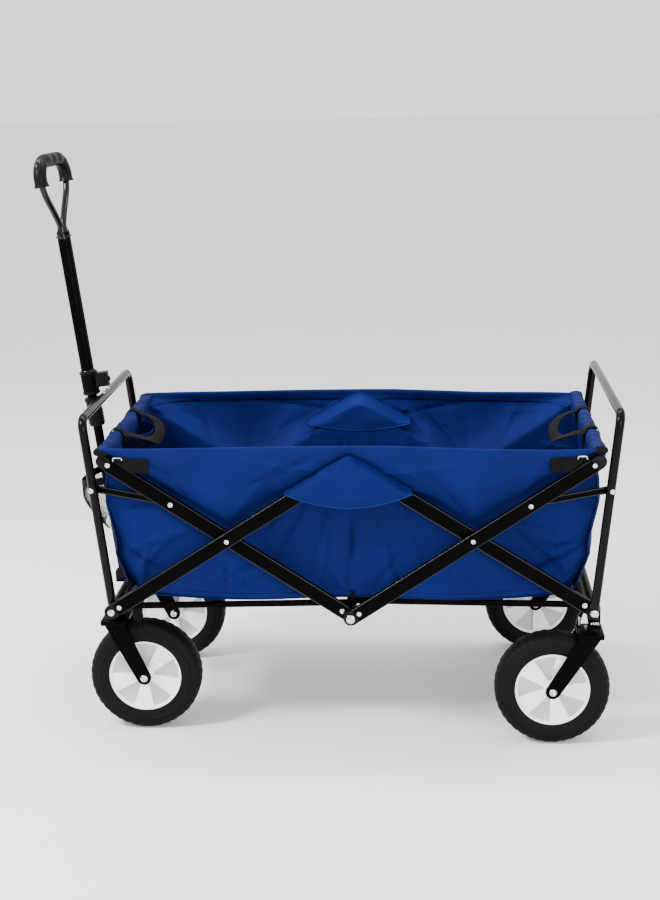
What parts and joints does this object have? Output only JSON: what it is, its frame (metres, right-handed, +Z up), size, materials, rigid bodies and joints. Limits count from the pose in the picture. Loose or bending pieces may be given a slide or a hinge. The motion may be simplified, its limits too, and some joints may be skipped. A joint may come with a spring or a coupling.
{
  "type": "folding utility wagon",
  "caption": "Collapsible four-wheel cloth wagon with a scissor-linked steel frame, swivelling front wheels and a telescoping pull handle.",
  "frame": {"origin": "on the floor, under the centre of the bounding box of the open wagon with its handle up", "axes": "+X from the pull handle towards the back, +Y across the wagon, +Z up"},
  "size_m": [0.9708, 0.514, 0.966],
  "materials": {
    "frame_paint": "black powder coat, semi-gloss",
    "moulded_plastic": "black moulded plastic, fine grain",
    "bolt_steel": "bright plated steel",
    "loop_steel": "black coated wire loop",
    "tyre_rubber": "matt black, knobbed tread",
    "wheel_plastic": "light grey, ten sectors",
    "blue_cloth": "royal blue coated polyester weave"
  },
  "bodies": {
    "hub": {"hub_tube": "frame_paint"},
    "front_rising_arms": {"front_inner_bar_near": "frame_paint", "front_inner_bar_far": "frame_paint", "front_end_tube": "frame_paint", "front_rim_sleeve": "blue_cloth"},
    "back_rising_arms": {"back_outer_bar_near": "frame_paint", "back_outer_bar_far": "frame_paint", "back_end_tube": "frame_paint", "back_rim_sleeve": "blue_cloth"},
    "front_falling_arms": {"front_outer_bar_near": "frame_paint", "front_outer_bar_far": "frame_paint"},
    "back_falling_arms": {"back_inner_bar_near": "frame_paint", "back_inner_bar_far": "frame_paint"},
    "cloth_box": {"side_panel_near": "blue_cloth", "side_panel_far": "blue_cloth", "end_panel_front": "blue_cloth", "end_panel_back": "blue_cloth", "floor_panel": "blue_cloth", "floor_mat": "blue_cloth"},
    "front_frame": {"front_hoop": "frame_paint", "front_crossbar": "frame_paint", "handle_yoke": "moulded_plastic"},
    "back_frame": {"back_hoop": "frame_paint", "back_crossbar": "frame_paint", "wheel_fork_back_near": "frame_paint", "wheel_fork_back_far": "frame_paint", "axle_bolt_back_near": "bolt_steel", "axle_bolt_back_far": "bolt_steel"},
    "front_links": {"short_link_front_near": "frame_paint", "short_link_front_far": "frame_paint"},
    "back_links": {"short_link_back_near": "frame_paint", "short_link_back_far": "frame_paint"},
    "front_rails": {"floor_rail_front_near": "frame_paint", "floor_rail_front_far": "frame_paint"},
    "back_rails": {"floor_rail_back_near": "frame_paint", "floor_rail_back_far": "frame_paint"},
    "caster_near": {"wheel_fork_front_near": "frame_paint", "axle_bolt_front_near": "bolt_steel"},
    "caster_far": {"wheel_fork_front_far": "frame_paint", "axle_bolt_front_far": "bolt_steel"},
    "wheel_front_near": {"tyre_front_near": "tyre_rubber", "wheel_disc_front_near": "wheel_plastic"},
    "wheel_front_far": {"tyre_front_far": "tyre_rubber", "wheel_disc_front_far": "wheel_plastic"},
    "wheel_back_near": {"tyre_back_near": "tyre_rubber", "wheel_disc_back_near": "wheel_plastic"},
    "wheel_back_far": {"tyre_back_far": "tyre_rubber", "wheel_disc_back_far": "wheel_plastic"},
    "handle_lower": {"handle_lower_tube": "frame_paint", "handle_sleeve": "moulded_plastic"},
    "handle_upper": {"handle_upper_tube": "frame_paint", "handle_collar": "moulded_plastic", "grip_loop": "loop_steel", "grip_cover": "moulded_plastic", "grip_bolt": "bolt_steel"},
    "button": {"lock_button": "moulded_plastic"}
  },
  "joints": [
    {"name": "fold", "type": "hinge", "parent": "hub", "child": "front_rising_arms", "pos_m": [0.043, 0, 0.213], "axis": [0, 1, 0], "range_deg": [0, 45.5], "deforming": ["side_panel_near", "side_panel_far", "end_panel_front", "end_panel_back", "floor_panel", "floor_mat"]},
    {"name": "back_rising_hinge", "type": "hinge", "parent": "hub", "child": "back_rising_arms", "pos_m": [0.043, 0, 0.213], "axis": [0, 1, 0], "range_deg": [-45.52, 0]},
    {"name": "front_cross_hinge", "type": "hinge", "parent": "front_rising_arms", "child": "front_falling_arms", "pos_m": [-0.158, 0, 0.346], "axis": [0, 1, 0], "range_deg": [-91.02, 0]},
    {"name": "back_cross_hinge", "type": "hinge", "parent": "back_rising_arms", "child": "back_falling_arms", "pos_m": [0.244, 0, 0.346], "axis": [0, 1, 0], "range_deg": [0, 91.02]},
    {"name": "box_hinge", "type": "hinge", "parent": "front_falling_arms", "child": "cloth_box", "pos_m": [0.043, 0, 0.479], "axis": [0, 1, 0], "range_deg": [0, 45.52]},
    {"name": "front_frame_hinge", "type": "hinge", "parent": "front_falling_arms", "child": "front_frame", "pos_m": [-0.355, 0, 0.2234], "axis": [0, 1, 0], "range_deg": [0, 49.76]},
    {"name": "back_frame_hinge", "type": "hinge", "parent": "back_falling_arms", "child": "back_frame", "pos_m": [0.441, 0, 0.2234], "axis": [0, 1, 0], "range_deg": [-49.76, 0]},
    {"name": "front_link_hinge", "type": "hinge", "parent": "front_frame", "child": "front_links", "pos_m": [-0.3798, 0, 0.4296], "axis": [0, 1, 0], "range_deg": [-88.42, 0]},
    {"name": "back_link_hinge", "type": "hinge", "parent": "back_frame", "child": "back_links", "pos_m": [0.4658, 0, 0.4296], "axis": [0, 1, 0], "range_deg": [0, 88.42]},
    {"name": "front_rail_hinge", "type": "hinge", "parent": "front_frame", "child": "front_rails", "pos_m": [-0.355, 0, 0.2234], "axis": [0, 1, 0], "range_deg": [-79.26, 0]},
    {"name": "back_rail_hinge", "type": "hinge", "parent": "back_frame", "child": "back_rails", "pos_m": [0.441, 0, 0.2234], "axis": [0, 1, 0], "range_deg": [0, 79.26]},
    {"name": "swivel_front_near", "type": "hinge", "parent": "front_frame", "child": "caster_near", "pos_m": [-0.361, -0.166, 0.095], "axis": [0, 0, 1], "continuous": true},
    {"name": "spin_front_near", "type": "hinge", "parent": "caster_near", "child": "wheel_front_near", "pos_m": [-0.311, -0.166, 0.095], "axis": [0, 1, 0], "continuous": true},
    {"name": "spin_back_near", "type": "hinge", "parent": "back_frame", "child": "wheel_back_near", "pos_m": [0.374, -0.221, 0.095], "axis": [0, 1, 0], "continuous": true},
    {"name": "swivel_front_far", "type": "hinge", "parent": "front_frame", "child": "caster_far", "pos_m": [-0.361, 0.166, 0.095], "axis": [0, 0, 1], "continuous": true},
    {"name": "spin_front_far", "type": "hinge", "parent": "caster_far", "child": "wheel_front_far", "pos_m": [-0.311, 0.166, 0.095], "axis": [0, 1, 0], "continuous": true},
    {"name": "spin_back_far", "type": "hinge", "parent": "back_frame", "child": "wheel_back_far", "pos_m": [0.374, 0.221, 0.095], "axis": [0, 1, 0], "continuous": true},
    {"name": "handle_hinge", "type": "hinge", "parent": "front_frame", "child": "handle_lower", "pos_m": [-0.376, 0, 0.224], "axis": [0, 1, 0], "range_deg": [-75, 0]},
    {"name": "handle_slide", "type": "slide", "parent": "handle_lower", "child": "handle_upper", "axis": [-0.1236, 0, 0.9923], "range_m": [0, 0.2]},
    {"name": "button_press", "type": "slide", "parent": "handle_upper", "child": "button", "axis": [-0.9923, 0, -0.1236], "range_m": [0, 0.0022], "stiffness_N_per_m": 400}
  ],
  "couplings": [
    {"joint": "back_rising_hinge", "follows": "fold", "ratio": -1},
    {"joint": "front_cross_hinge", "follows": "fold", "ratio": -2},
    {"joint": "back_cross_hinge", "follows": "fold", "ratio": 2},
    {"joint": "box_hinge", "follows": "fold", "ratio": 1},
    {"joint": "front_frame_hinge", "follows": "fold", "ratio": 1.0932},
    {"joint": "back_frame_hinge", "follows": "fold", "ratio": -1.0932},
    {"joint": "front_link_hinge", "follows": "fold", "ratio": -1.9429},
    {"joint": "back_link_hinge", "follows": "fold", "ratio": 1.9429},
    {"joint": "front_rail_hinge", "follows": "fold", "ratio": -1.7415},
    {"joint": "back_rail_hinge", "follows": "fold", "ratio": 1.7415}
  ]
}
